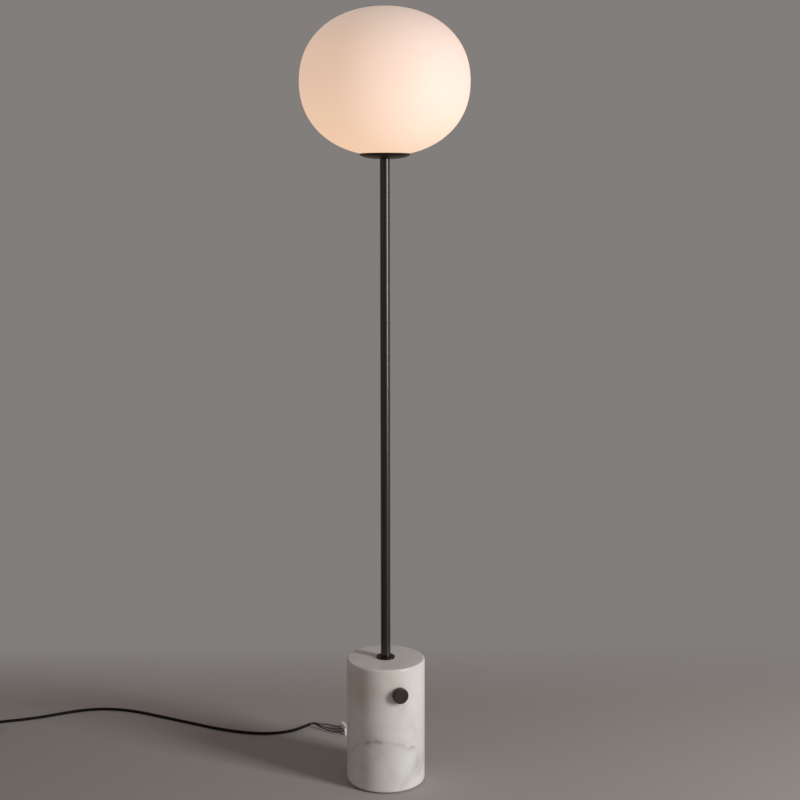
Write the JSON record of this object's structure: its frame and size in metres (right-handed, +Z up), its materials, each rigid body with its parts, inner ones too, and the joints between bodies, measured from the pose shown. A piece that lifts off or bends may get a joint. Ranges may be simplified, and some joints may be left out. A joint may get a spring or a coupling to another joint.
{
  "type": "floor lamp",
  "caption": "Floor lamp with an opal globe in a shallow dish on a thin stem, a marble cylinder base with a push-and-turn dimmer knob, and a round flex.",
  "frame": {"origin": "on the floor under the middle of the base, on the stem's axis", "axes": "+Z up along the stem, -Y the side with the dimmer knob, +Y the side where the cord leaves"},
  "size_m": [1.0126, 0.7306, 1.5],
  "materials": {
    "marble": "honed white marble with faint warm grey veins",
    "felt": "pressed wool felt",
    "bronze": "dark bronze, satin",
    "opal_glass": "satin opal, white all through",
    "steel": "zinc plated",
    "brass": "plain",
    "silicone": "translucent silicone",
    "black_plastic": "fine moulded",
    "ceramic": "unglazed",
    "cord_black": "round flex, satin",
    "core_black": "thin insulated cores",
    "relief_rubber": "moulded",
    "earth_green": "insulated wire",
    "clear_plastic": "translucent polyamide",
    "white_plastic": "white",
    "bulb_white": "frosted diffuser",
    "board": "white faced board",
    "nickel": "nickel plated"
  },
  "bodies": {
    "stand": {"marble_base": "marble", "felt_pad": "felt", "stem_tube": "bronze", "stem_flange": "bronze", "dish": "bronze", "base_plate": "steel", "base_plate_screws": "steel", "inner_washer": "steel", "inner_nut": "steel", "dimmer_bracket": "steel", "clamp_screws": "steel", "earth_tag": "steel", "earth_screw": "steel", "return_spring": "steel", "dish_washer": "steel", "dish_nut": "steel", "lower_nipple": "steel", "upper_nipple": "steel", "stem_lower_insert": "steel", "stem_upper_insert": "steel", "holder_terminals": "steel", "bush_nut": "steel", "terminal_screws": "steel", "base_anchors": "brass", "spindle_sleeve": "brass", "holder_thread": "brass", "holder_contact": "brass", "terminal_tubes": "brass", "seat_ring": "silicone", "dimmer_housing": "black_plastic", "dimmer_cover": "black_plastic", "cord_clamp": "black_plastic", "clamp_bar": "black_plastic", "holder_cap": "black_plastic", "holder_shell": "black_plastic", "plug_body": "black_plastic", "holder_insulator": "ceramic", "inner_lead": "cord_black", "lamp_cable": "cord_black", "lead_cord": "cord_black", "supply_cord": "cord_black", "supply_coil": "cord_black", "supply_tail": "cord_black", "lead_cores": "core_black", "supply_cores": "core_black", "strain_relief": "relief_rubber", "plug_relief": "relief_rubber", "earth_wire": "earth_green", "terminal_housing": "clear_plastic", "plug_fittings": "nickel"},
    "plunger": {"push_carriage": "black_plastic"},
    "knob": {"spindle": "steel", "dimmer_knob": "bronze", "grub_screw": "steel"},
    "globe": {"globe_glass": "opal_glass"},
    "bulb": {"bulb_cap": "nickel", "bulb_contact": "brass", "bulb_collar": "white_plastic", "bulb_board": "board", "bulb_diffuser": "bulb_white"}
  },
  "joints": [
    {"name": "knob_push", "type": "slide", "parent": "stand", "child": "plunger", "axis": [0, 1, 0], "range_m": [0, 0.0015], "stiffness_N_per_m": 400, "springref_m": -0.001, "deforming": ["return_spring"]},
    {"name": "knob_turn", "type": "hinge", "parent": "plunger", "child": "knob", "pos_m": [0, -0.0775, 0.195], "axis": [0, 1, 0], "range_deg": [-140, 140]},
    {"name": "globe_lift", "type": "slide", "parent": "stand", "child": "globe", "axis": [0, 0, 1], "range_m": [0, 0.15]},
    {"name": "bulb_unscrew", "type": "slide", "parent": "stand", "child": "bulb", "axis": [0, 0, 1], "range_m": [0, 0.03]}
  ]
}
